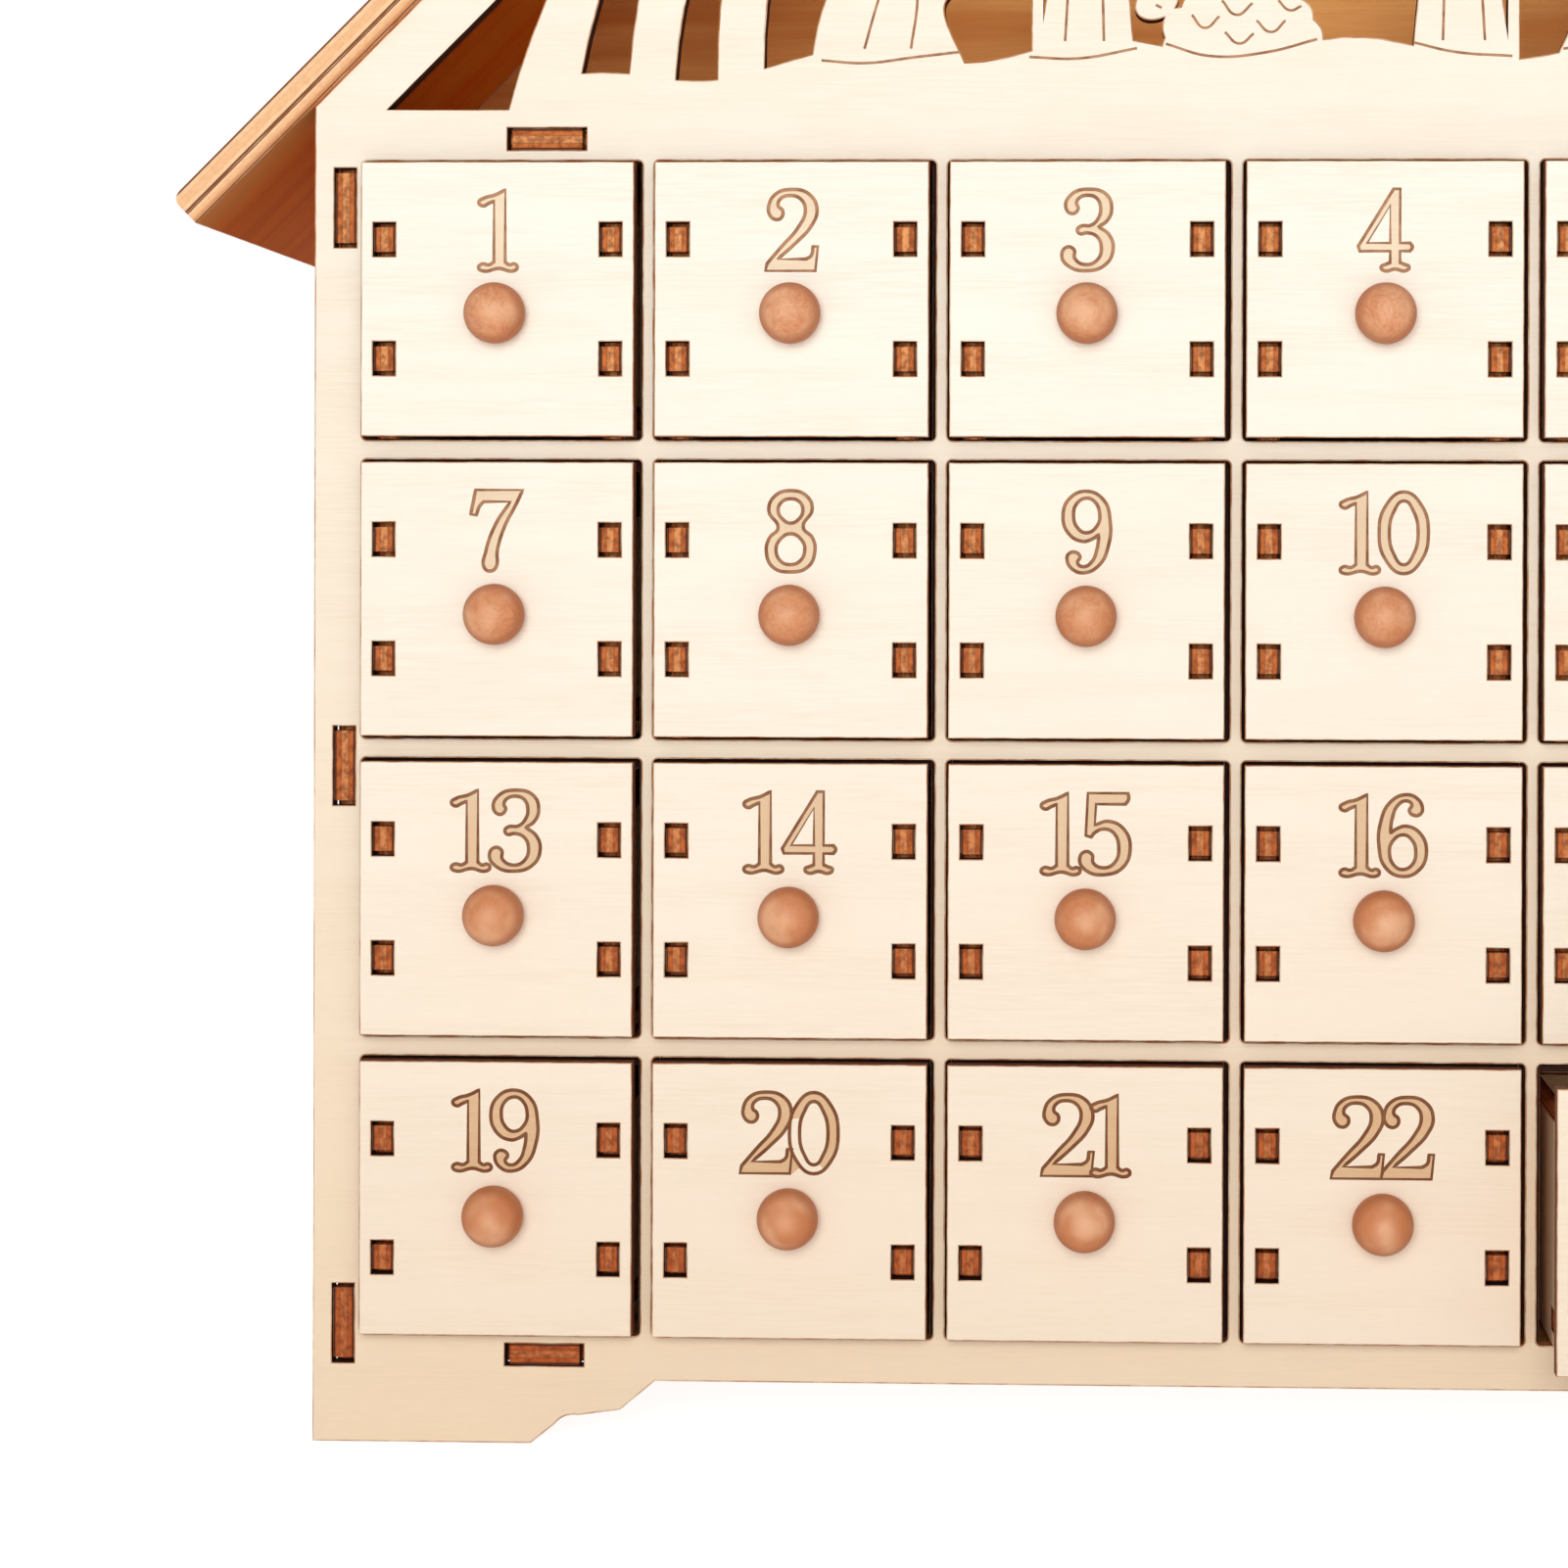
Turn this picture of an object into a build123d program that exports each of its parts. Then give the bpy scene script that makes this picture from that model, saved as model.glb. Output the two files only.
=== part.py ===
from build123d import *
from math import cos, pi, sin, sqrt
import os

# A wooden advent calendar: a plywood house whose pierced front holds numbered drawers.
# Millimetres, +Z up, the front faces -Y, and the house stands on Z = 0.

# Driving dimensions: sheet stock and joints
ply = 3.0                # plywood of the carcase and the drawers
roof_ply = (2.0, 3.0)    # plywood of the inner and the outer roof layer
slot_side_gap = 0.1      # room beside a tab in its slot
slot_end_gap = 0.7       # room at each end of a tab in its slot
tab_recess = 0.4         # tab end lies this far below the face it shows in
tab_len = 9.8            # length of a carcase tab

# Driving dimensions: lattice of drawer openings in the front
columns = 6
rows = 4
opening_w = 39.5
opening_h = 39.1
opening_corner = 0.7     # corner radius of an opening
upright_bar = 1.6        # bar between two columns
cross_bar = 2.7          # bar between two rows
side_margin = 6.7        # edge of the front to the first opening
wall_inset = 2.8         # edge of the front to the outer face of a side wall

# Driving dimensions: heights
base_floor_z = 10.9      # underside of the base floor
shelf_drop = 1.25        # top of a shelf below the opening it serves
attic_land = 1.55        # top row of openings to the underside of the attic floor
shoulder_rise = 3.1      # top of the attic floor to the shoulder of the front
floor_tab_inset = 32.7   # edge of the front to the middle of a floor's tab
wall_tab_low = 16.6      # height of the lowest tab of a side wall
wall_tab_drop = 8.1      # attic floor down to the highest tab of a side wall

# Driving dimensions: depth and roof
carcase_depth = 72.0
roof_front = 1.0         # roof in front of the house
roof_rear = 2.0          # roof behind the house
eave_reach = 16.5        # lower corner of the roof beyond the side edge of the front

# Driving dimensions: bracket feet of the front and the back
foot_w = 30.8
arch_h = 8.9             # clear height between the feet
foot_lip = (3.4, 2.7)    # run and rise of the slant above the foot
foot_cove = (3.3, 1.3)   # hollow after the slant
foot_ledge = (5.9, 0.8)  # flatter stretch after the hollow
foot_top_run = 4.9       # run of the last slant up to the clear height
cove_sagitta = 0.5

# Driving dimensions: drawers
plate_gap = 0.45         # room above and below a plate in its opening
plate_side_gap = 0.65    # room on each side of a plate in its opening
plate_shift = 0.2        # plates sit this far left of the middle of their openings
plate_proud = 2.7        # plate of a closed drawer in front of the house
tray_side_gap = 1.7      # tray to the divider on each side of it
tray_lift = 0.2          # bottom of an opening to the bottom of the tray
tray_drop = 7.2          # top of the plate down to the top of the tray
tray_end_gap = 1.0       # tray to the back panel
tray_floor_raise = 2.0   # underside of the tray floor above the bottom of the tray
ride_gap = 0.2           # heel of the tray above the shelf
stop_gap = 0.3           # heel of the tray short of the front when the drawer is right out
back_inset = 3.0         # back board inside the rear end of the side walls
drawer_tab = 3.4         # length of a tab of a drawer side
tab_step = 16.6          # from the lower to the upper tab of a drawer side
tray_tab_inset = 14.0    # ends of the tray floor to the middle of its tabs
knob_d = 8.5
knob_reach = 6.2         # knob in front of its plate
knob_drop = 2.1          # middle of the plate down to the middle of the knob
dowel_d = 3.0            # dowel of the knob
dowel_gap = 0.1          # room round the dowel
drawn_drawer = "23"      # the drawer that stands open
drawn_out = 18.0

# Driving dimensions: gable scene
gable_rim = 7.5          # band left along the roof
corner_land = 2.6        # attic floor up to the corner cut-outs
hill_land = 5.3          # attic floor up to the ground at the sides of the scene
hill_rise = 6.0          # ground in the middle above the ground at the sides
hill_wave = 1.4          # height of the waves on the ground
hill_pitch = 36.0        # length of a wave
hill_peak = 16.7         # one wave has its top here
dome_land = 9.8          # attic floor up to the centre of the great arch
dome_inset = 63.2        # edge of the front to the great arch
rib_w = (6.6, 6.6, 8.6)  # ribs at their feet, from the great arch outwards
slit_w = (5.6, 6.4)      # slits between the ribs at their feet
slit_sink = (7.5, 18.5)  # centre of each slit's outer circle below that of the great arch
outer_sink = 33.0        # centre of the outermost rib's circle below it
slit_rise = 53.0         # slits and corner cut-outs end this far above the great arch's centre
star_r = 11.0
star_waist = 4.6         # radius of the inner corners of the star
star_drop = 28.0         # tip of the gable to the middle of the star
spark_d = 2.6            # small round stars beside it
spark_step = (12.5, 8.0) # from one small star to the next
spark_count = 3
figure_sink = 6.0        # figures run this far down into the ground
standing_h = (43.0, 46.0)
standing_hem = (13.7, 14.4)
standing_x = (-21.0, 31.0)
kneeling_h = (27.0, 25.0)
kneeling_x = (-47.5, 53.0)
staff_w = 1.6
lamb_len = 25.0
lamb_x = 0.5

# Derived places
pitch_x = opening_w + upright_bar
pitch_z = opening_h + cross_bar
half_w = (columns * pitch_x - upright_bar) / 2 + side_margin
first_opening_z = base_floor_z + ply + shelf_drop
openings_top = first_opening_z + rows * pitch_z - cross_bar
attic_floor_z = openings_top + attic_land
attic_top = attic_floor_z + ply
shoulder_z = attic_top + shoulder_rise
apex_z = shoulder_z + half_w
wall_out = half_w - wall_inset
wall_in = wall_out - ply
wall_mid = (wall_out + wall_in) / 2
wall_top = shoulder_z + wall_inset
inner_end = carcase_depth - ply
mid_depth = carcase_depth / 2
wall_tab_high = attic_floor_z - wall_tab_drop
wall_tab_z = (wall_tab_low, (wall_tab_low + wall_tab_high) / 2, wall_tab_high)
floor_tab_x = half_w - floor_tab_inset
slot_w = ply + 2 * slot_side_gap
slot_len = tab_len + 2 * slot_end_gap
shelf_z = [first_opening_z + row * pitch_z - shelf_drop - ply for row in range(1, rows)]
divider_x = [(column - columns / 2) * pitch_x for column in range(1, columns)]
plate_w = opening_w - 2 * plate_side_gap
plate_h = opening_h - 2 * plate_gap
drawer_tab_z = (plate_h / 2 - tab_step / 2, plate_h / 2 + tab_step / 2)
knob_z = plate_h / 2 - knob_drop
tray_w = pitch_x - ply - 2 * tray_side_gap
tray_top = plate_h - tray_drop
tray_low = tray_lift - plate_gap
tray_in = tray_w / 2 - ply
tray_end = inner_end + plate_proud - tray_end_gap
back_y = tray_end - back_inset - ply
heel_low = ride_gap - shelf_drop - plate_gap
drawer_travel = back_y - plate_proud - ply - stop_gap
tray_floor_z = tray_low + tray_floor_raise
dome_r = half_w - dome_inset
dome_z = attic_top + dome_land
front_y = (drawn_out + plate_proud + knob_reach - carcase_depth - roof_rear) / 2


def rect(x0, x1, y0, y1):
    return Pos((x0 + x1) / 2, (y0 + y1) / 2) * Rectangle(x1 - x0, y1 - y0)


def around(x, y, w, h):
    return rect(x - w / 2, x + w / 2, y - h / 2, y + h / 2)


def facing_sheet(sketch, y, thickness=ply):
    """A sheet seen from the front: sketch X, Y become X, Z."""
    return Pos(0, y, 0) * extrude(Plane.XZ * sketch, amount=-thickness)


def side_sheet(sketch, x, thickness=ply):
    """A sheet seen from the side: sketch X, Y become Y, Z."""
    return Pos(x, 0, 0) * extrude(Plane.YZ * sketch, amount=thickness)


def flat_sheet(sketch, z, thickness=ply):
    """A lying sheet: sketch X, Y stay X, Y."""
    return Pos(0, 0, z) * extrude(sketch, amount=thickness)


def placed(shape):
    """The whole house moves back so that the origin is in the middle of its box."""
    return Pos(0, front_y, 0) * shape


# Front and back


def house_outline():
    foot = [(half_w, shoulder_z), (half_w, 0), (half_w - foot_w, 0)]
    for run, rise in (foot_lip, foot_cove, foot_ledge):
        foot.append((foot[-1][0] - run, foot[-1][1] + rise))
    foot.append((foot[-1][0] - foot_top_run, arch_h))
    far = [(-x, z) for x, z in reversed(foot)]
    lines = [Polyline(*foot[:4]), SagittaArc(foot[3], foot[4], -cove_sagitta), Polyline(*foot[4:])]
    lines += [Line(foot[-1], far[0]), Polyline(*far[:3]), SagittaArc(far[2], far[3], -cove_sagitta)]
    lines += [Polyline(*far[3:]), Polyline(far[-1], (0, apex_z), foot[0])]
    return make_face(lines)


def carcase_slots():
    slots = [around(s * wall_mid, z, slot_w, slot_len) for s in (-1, 1) for z in wall_tab_z]
    for z in (base_floor_z, attic_floor_z):
        slots += [around(s * floor_tab_x, z + ply / 2, slot_len, slot_w) for s in (-1, 1)]
    return slots


def opening_bottom(row):
    return first_opening_z + (rows - 1 - row) * pitch_z


def opening_mid(column):
    return (column - (columns - 1) / 2) * pitch_x


def openings():
    hole = RectangleRounded(opening_w, opening_h, opening_corner)
    places = [(opening_mid(c), opening_bottom(r)) for r in range(rows) for c in range(columns)]
    return [Pos(x, z + opening_h / 2) * hole for x, z in places]


# Gable scene: robed figures and a lamb on low hills, in a ribbed dome under a star

# Cloaked figures as shares of hem and height, from one end of the hem round to the other
standing_outline = [(-0.50, 0), (-0.43, 0.26), (-0.37, 0.52), (-0.36, 0.67), (-0.22, 0.78), (-0.17, 0.84),
                    (-0.18, 0.93), (0, 1), (0.17, 0.93), (0.15, 0.84), (0.23, 0.77), (0.54, 0.63),
                    (0.40, 0.52), (0.36, 0.36), (0.50, 0)]
kneeling_outline = [(-0.46, 0), (-0.43, 0.26), (-0.27, 0.56), (-0.08, 0.74), (-0.07, 0.90), (0.06, 1),
                    (0.19, 0.91), (0.17, 0.77), (0.30, 0.62), (0.44, 0.66), (0.40, 0.52), (0.26, 0.40),
                    (0.33, 0.20), (0.40, 0)]


def gable_field():
    """The gable inside its rim, above the corner cut-outs' floor."""
    top = apex_z - gable_rim * sqrt(2)
    low = attic_top + corner_land
    return make_face(Polyline((low - top, low), (top - low, low), (0, top), close=True))


def hill_height(x):
    side = dome_r + sum(rib_w) + sum(slit_w)
    swell = hill_rise * (1 - (x / side) ** 2)
    return attic_top + hill_land + swell + hill_wave * cos(2 * pi * (x - hill_peak) / hill_pitch)


def hills():
    """Everything below the wavy ground, between the feet of the outermost ribs."""
    reach = dome_r + sum(rib_w) + sum(slit_w)
    count = round(8 * reach / hill_pitch)
    ridge = Spline(*[(x, hill_height(x)) for x in [reach * (i / count - 1) for i in range(2 * count + 1)]])
    return make_face([ridge, Polyline(ridge @ 1, (reach, 0), (-reach, 0), ridge @ 0)])


def disc(x, z, r):
    return Pos(x, z) * Circle(r)


def outlined(outline, x, wide, tall, turn):
    """A figure standing in the ground, drawn from an outline; turn -1 looks to the left."""
    base = hill_height(x) - figure_sink
    corners = [(x + turn * u * wide, base + v * tall) for u, v in outline]
    return make_face([Spline(*corners), Line(corners[-1], corners[0])])


def standing_figure(x, height, hem, turn):
    tall = height + figure_sink
    foot = hill_height(x) - figure_sink
    staff_x = x + turn * 0.5 * hem
    staff = rect(staff_x - staff_w / 2, staff_x + staff_w / 2, foot, foot + tall)
    return outlined(standing_outline, x, hem, tall, turn) + staff + disc(staff_x, foot + tall, staff_w)


def kneeling_figure(x, height, turn):
    tall = height + figure_sink
    return outlined(kneeling_outline, x, 0.8 * tall, tall, turn)


def lamb(x, turn):
    """A lying lamb: a woolly body of bumps round an oval, a head and an ear."""
    half, high, bumps = 0.34 * lamb_len, 0.20 * lamb_len, 11
    z = hill_height(x) + 0.5 * high
    body = Pos(x, z) * Ellipse(half, high)
    for i in range(bumps):
        angle = 2 * pi * i / bumps
        body += disc(x + half * cos(angle), z + high * sin(angle), 0.115 * lamb_len)
    head = Ellipse(0.13 * lamb_len, 0.095 * lamb_len)
    ear = Ellipse(0.085 * lamb_len, 0.04 * lamb_len)
    body += Pos(x + turn * 0.47 * lamb_len, z + 0.20 * lamb_len) * Rot(0, 0, -turn * 28) * head
    return body + Pos(x + turn * 0.38 * lamb_len, z + 0.31 * lamb_len) * Rot(0, 0, turn * 30) * ear


def star(z):
    corners = []
    for i in range(10):
        angle = pi / 2 + pi * i / 5
        reach = star_waist if i % 2 else star_r
        corners.append((reach * cos(angle), z + reach * sin(angle)))
    return make_face(Polyline(*corners, close=True))


def arch(foot, sink):
    """A round arch whose circle passes through the given half width at the great arch's centre."""
    return disc(0, dome_z - sink, sqrt(foot**2 + sink**2))


def scene_cuts():
    feet = [dome_r]
    for rib, slit in zip(rib_w, slit_w):
        feet += [feet[-1] + rib, feet[-1] + rib + slit]
    field = gable_field()
    low_field = field & rect(-half_w, half_w, 0, dome_z + slit_rise)
    slits = arch(feet[2], slit_sink[0]) - arch(feet[1], 0)
    slits += arch(feet[4], slit_sink[1]) - arch(feet[3], slit_sink[0])
    sky = arch(dome_r, 0)
    for place in zip(standing_x, standing_h, standing_hem, (-1, 1)):
        sky -= standing_figure(*place)
    for place in zip(kneeling_x, kneeling_h, (1, -1)):
        sky -= kneeling_figure(*place)
    sky -= lamb(lamb_x, -1)
    holes = ((slits & low_field) + (sky & field)) - hills()
    holes += low_field - arch(feet[4] + rib_w[2], outer_sink)
    star_z = apex_z - star_drop
    holes += star(star_z)
    for step in range(1, spark_count + 1):
        holes += [disc(s * step * spark_step[0], star_z - step * spark_step[1], spark_d / 2) for s in (-1, 1)]
    return holes


def front_facade():
    sheet = house_outline() - openings() - carcase_slots() - scene_cuts()
    return facing_sheet(sheet, 0)


def back_panel():
    return facing_sheet(house_outline() - carcase_slots(), inner_end)


# Side walls, floors, shelves and dividers


def side_wall(side):
    sheet = rect(ply, inner_end, 0, wall_top)
    for z in wall_tab_z:
        sheet += rect(tab_recess, carcase_depth - tab_recess, z - tab_len / 2, z + tab_len / 2)
    for z in [base_floor_z, *shelf_z, attic_floor_z]:
        sheet -= around(mid_depth, z + ply / 2, slot_len, slot_w)
    return side_sheet(sheet, wall_in if side > 0 else -wall_out)


def board():
    """A lying sheet between the side walls, with a tab into each of them."""
    reach = wall_out - tab_recess
    return rect(-wall_in, wall_in, ply, inner_end) + around(0, mid_depth, 2 * reach, tab_len)


def end_floor(z):
    """The base and the attic floor also tab into the front and the back."""
    sheet = board()
    for s in (-1, 1):
        sheet += around(s * floor_tab_x, mid_depth, tab_len, carcase_depth - 2 * tab_recess)
    return flat_sheet(sheet, z)


def shelf(z):
    notch = [rect(x - slot_w / 2, x + slot_w / 2, 0, mid_depth) for x in divider_x]
    return flat_sheet(board() - notch, z)


def divider(x):
    sheet = rect(ply, inner_end, base_floor_z + ply, attic_floor_z)
    for z in shelf_z:
        sheet -= rect(mid_depth, carcase_depth, z - slot_side_gap, z + ply + slot_side_gap)
    return side_sheet(sheet, x - ply / 2)


# Roof: two layers of board on each slope, lapped at the ridge


def roof_board(layer, side):
    """Board in its own plane: along the slope from the ridge, and out from the underside."""
    length = (half_w + eave_reach) * sqrt(2)
    low = sum(roof_ply[:layer])
    high = low + roof_ply[layer]
    sheet = rect(-length, low if side < 0 else high, low, high)
    turned = Pos(0, apex_z) * Rot(0, 0, 45) * sheet
    solid = facing_sheet(turned, -roof_front, carcase_depth + roof_front + roof_rear)
    return solid if side < 0 else mirror(solid, Plane.YZ)


# Drawers: a plate with a knob, two sides, a back board with a heel, and a floor


def drawer_pieces():
    """One drawer about the bottom middle of its plate, whose front lies at Y = 0."""
    side_mid = tray_w / 2 - ply / 2
    drawer_slot = drawer_tab + 2 * slot_end_gap
    plate = rect(-plate_w / 2, plate_w / 2, 0, plate_h)
    plate -= [around(s * side_mid, z, slot_w, drawer_slot) for s in (-1, 1) for z in drawer_tab_z]
    plate -= disc(0, knob_z, dowel_d / 2 + dowel_gap)
    floor_tabs = (ply + tray_tab_inset, back_y - tray_tab_inset)
    side = rect(ply, tray_end, tray_low, tray_top)
    for z in drawer_tab_z:
        side += rect(tab_recess, ply, z - drawer_tab / 2, z + drawer_tab / 2)
        side -= around(back_y + ply / 2, z, slot_w, drawer_slot)
    side -= [around(y, tray_floor_z + ply / 2, slot_len, slot_w) for y in floor_tabs]
    reach = tray_w / 2 - tab_recess
    floor = rect(-tray_in, tray_in, ply, back_y)
    for y in floor_tabs:
        floor += around(0, y, 2 * reach, tab_len)
    back = rect(-tray_in, tray_in, heel_low, tray_top)
    for z in drawer_tab_z:
        back += around(0, z, 2 * reach, drawer_tab)
    return [
        facing_sheet(plate, 0),
        side_sheet(side, -tray_w / 2),
        side_sheet(side, tray_in),
        flat_sheet(floor, tray_floor_z),
        facing_sheet(back, back_y),
    ]


def knob():
    """A turned half ball with a dowel, about the middle of its seat on the plate."""
    middle = knob_d / 2 - knob_reach
    ball = Pos(0, middle, 0) * Sphere(knob_d / 2)
    half = ball & Pos(0, -knob_d, 0) * Box(2 * knob_d, 2 * knob_d, 2 * knob_d)
    depth = ply - tab_recess
    dowel = Pos(0, depth / 2, 0) * Rot(90, 0, 0) * Cylinder(dowel_d / 2, depth)
    return half + dowel


def write(name, *solids):
    export_step(Compound([placed(solid) for solid in solids]), f"parts/{name}.step")


os.makedirs("parts", exist_ok=True)
write("front_facade", front_facade())
write("back_panel", back_panel())
write("left_wall", side_wall(-1))
write("right_wall", side_wall(1))
write("base_floor", end_floor(base_floor_z))
write("attic_floor", end_floor(attic_floor_z))
write("shelves", *[shelf(z) for z in shelf_z])
write("dividers", *[divider(x) for x in divider_x])
for side, side_name in ((-1, "left"), (1, "right")):
    for layer, layer_name in enumerate(("inner", "outer")):
        write(f"roof_{side_name}_{layer_name}", roof_board(layer, side))
pieces = drawer_pieces()
pull = knob()
for row in range(rows):
    for column in range(columns):
        number = f"{row * columns + column + 1:02d}"
        plate_y = -plate_proud - (drawn_out if number == drawn_drawer else 0)
        place = Pos(opening_mid(column) - plate_shift, plate_y, opening_bottom(row) + plate_gap)
        write(f"drawer_{number}", *[place * piece for piece in pieces])
        write(f"knob_{number}", place * Pos(0, 0, knob_z) * pull)
print(f"house {2 * half_w:.1f} wide, ridge at {apex_z + sum(roof_ply) * sqrt(2):.1f}")
print(f"front face at Y {front_y:.2f}, drawers slide {drawer_travel:.1f}")
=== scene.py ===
import math
import bmesh
import bpy
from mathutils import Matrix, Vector
from mathutils.bvhtree import BVHTree


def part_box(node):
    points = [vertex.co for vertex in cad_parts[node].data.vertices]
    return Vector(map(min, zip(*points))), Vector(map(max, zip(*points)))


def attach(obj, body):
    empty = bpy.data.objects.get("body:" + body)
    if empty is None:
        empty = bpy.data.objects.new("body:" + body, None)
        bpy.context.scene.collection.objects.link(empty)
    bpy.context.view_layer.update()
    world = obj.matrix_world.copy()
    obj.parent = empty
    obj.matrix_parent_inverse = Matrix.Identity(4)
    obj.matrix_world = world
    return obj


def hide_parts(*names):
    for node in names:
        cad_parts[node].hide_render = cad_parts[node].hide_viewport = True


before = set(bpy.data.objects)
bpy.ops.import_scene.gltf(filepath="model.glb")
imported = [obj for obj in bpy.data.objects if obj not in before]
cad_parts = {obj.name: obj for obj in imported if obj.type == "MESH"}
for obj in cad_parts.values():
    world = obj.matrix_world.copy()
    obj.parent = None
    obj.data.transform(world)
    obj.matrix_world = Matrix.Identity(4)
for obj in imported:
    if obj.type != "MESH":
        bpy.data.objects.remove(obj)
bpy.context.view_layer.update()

mm = 0.001
print("frame loaded:", len(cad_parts), "nodes")


# Node helpers

def paint(red, green, blue):                     # screen colour 0-255 to the linear colour of a socket
    linear = [c / 255 / 12.92 if c <= 10 else ((c / 255 + 0.055) / 1.055) ** 2.4 for c in (red, green, blue)]
    return (*linear, 1.0)


def newGroup(name, inputs, outputs):
    tree = bpy.data.node_groups.new(name, "ShaderNodeTree")
    for label, kind in inputs:
        tree.interface.new_socket(label, in_out="INPUT", socket_type=kind)
    for label, kind in outputs:
        tree.interface.new_socket(label, in_out="OUTPUT", socket_type=kind)
    return tree, tree.nodes.new("NodeGroupInput"), tree.nodes.new("NodeGroupOutput")


def addGroup(tree, group, place):                # gives the group's outputs
    node = tree.nodes.new("ShaderNodeGroup")
    node.node_tree = group
    tree.links.new(place, node.inputs["Vector"])
    return node.outputs


def axesOf(tree, place):
    node = tree.nodes.new("ShaderNodeSeparateXYZ")
    tree.links.new(place, node.inputs["Vector"])
    return node.outputs


def stretchedNoise(tree, vector, stretch, detail=3.0, roughness=0.55, distortion=0.0):
    mapping = tree.nodes.new("ShaderNodeMapping")
    mapping.inputs["Scale"].default_value = stretch
    tree.links.new(vector, mapping.inputs["Vector"])
    noise = tree.nodes.new("ShaderNodeTexNoise")
    noise.inputs["Scale"].default_value = 1.0
    noise.inputs["Detail"].default_value = detail
    noise.inputs["Roughness"].default_value = roughness
    noise.inputs["Distortion"].default_value = distortion
    tree.links.new(mapping.outputs["Vector"], noise.inputs["Vector"])
    return noise.outputs["Fac"]


def spread(tree, value, low, high, toLow=0.0, toHigh=1.0):
    node = tree.nodes.new("ShaderNodeMapRange")
    node.interpolation_type = "SMOOTHSTEP"
    for label, number in (("From Min", low), ("From Max", high), ("To Min", toLow), ("To Max", toHigh)):
        node.inputs[label].default_value = number
    tree.links.new(value, node.inputs["Value"])
    return node.outputs["Result"]


mixSockets = {"factor": 0, "first": 6, "second": 7, "result": 2}      # colour sockets of a Mix node


def mixColour(tree, factor, first, second):      # colours are sockets or paint() values
    node = tree.nodes.new("ShaderNodeMix")
    node.data_type = "RGBA"
    tree.links.new(factor, node.inputs[mixSockets["factor"]])
    for place, tint in (("first", first), ("second", second)):
        socket = node.inputs[mixSockets[place]]
        if isinstance(tint, tuple):
            socket.default_value = tint
        else:
            tree.links.new(tint, socket)
    return node.outputs[mixSockets["result"]]


def sums(tree, operation, first, second):
    node = tree.nodes.new("ShaderNodeMath")
    node.operation = operation
    for socket, value in zip(node.inputs, (first, second)):
        if isinstance(value, float):
            socket.default_value = value
        else:
            tree.links.new(value, socket)
    return node.outputs["Value"]


def newMaterial(name, roughness, gloss=0.25):
    material = bpy.data.materials.new(name)
    material.use_nodes = True
    tree = material.node_tree
    shader = tree.nodes["Principled BSDF"]
    shader.inputs["Roughness"].default_value = roughness
    shader.inputs["Specular IOR Level"].default_value = gloss
    return material, tree, shader


def addBump(tree, shader, height, strength, distance):
    bump = tree.nodes.new("ShaderNodeBump")
    bump.inputs["Strength"].default_value = strength
    bump.inputs["Distance"].default_value = distance
    tree.links.new(height, bump.inputs["Height"])
    tree.links.new(bump.outputs["Normal"], shader.inputs["Normal"])


def sheetMap(tree):                              # u runs with the grain, v across it, in metres
    node = tree.nodes.new("ShaderNodeUVMap")
    node.uv_map = "sheet"
    return node.outputs["UV"]


def objectPlace(tree):
    return tree.nodes.new("ShaderNodeTexCoord").outputs["Object"]


# Shared effects

veneerLook = {                                   # stretch, detail, roughness, distortion, least and most of the noise
    "Fibre": ((110, 2600, 1), 5.0, 0.62, 0.0, 0.30, 0.72),
    "Band": ((9, 190, 1), 3.0, 0.5, 0.4, 0.32, 0.70),
    "Patch": ((42, 60, 1), 2.0, 0.55, 0.0, 0.35, 0.68),
    "Fleck": ((420, 3600, 1), 2.0, 0.55, 0.0, 0.66, 0.78),
}


def veneerGroup():                               # rotary-cut veneer: fibres, soft bands, patches and short flecks
    tree, start, end = newGroup("veneer", [("Vector", "NodeSocketVector")],
                                [(label, "NodeSocketFloat") for label in veneerLook])
    for label, (stretch, detail, roughness, distortion, least, most) in veneerLook.items():
        noise = stretchedNoise(tree, start.outputs["Vector"], stretch, detail, roughness, distortion)
        tree.links.new(spread(tree, noise, least, most), end.inputs[label])
    return tree


plyLook = {                                      # places across an edge, 0 at its rear and 1 at its front
    "wander": 0.14, "wanderStretch": (160, 1.5, 1), "middle": 0.57, "core": (0.15, 0.21), "glueAt": 0.18,
    "glue": (0.015, 0.05), "skinFrom": 0.5, "skin": (0.38, 0.43), "rearShade": (0.05, 0.6),
    "char": (0.34, 0.70), "charStretch": (900, 3.0, 1),
}


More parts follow.
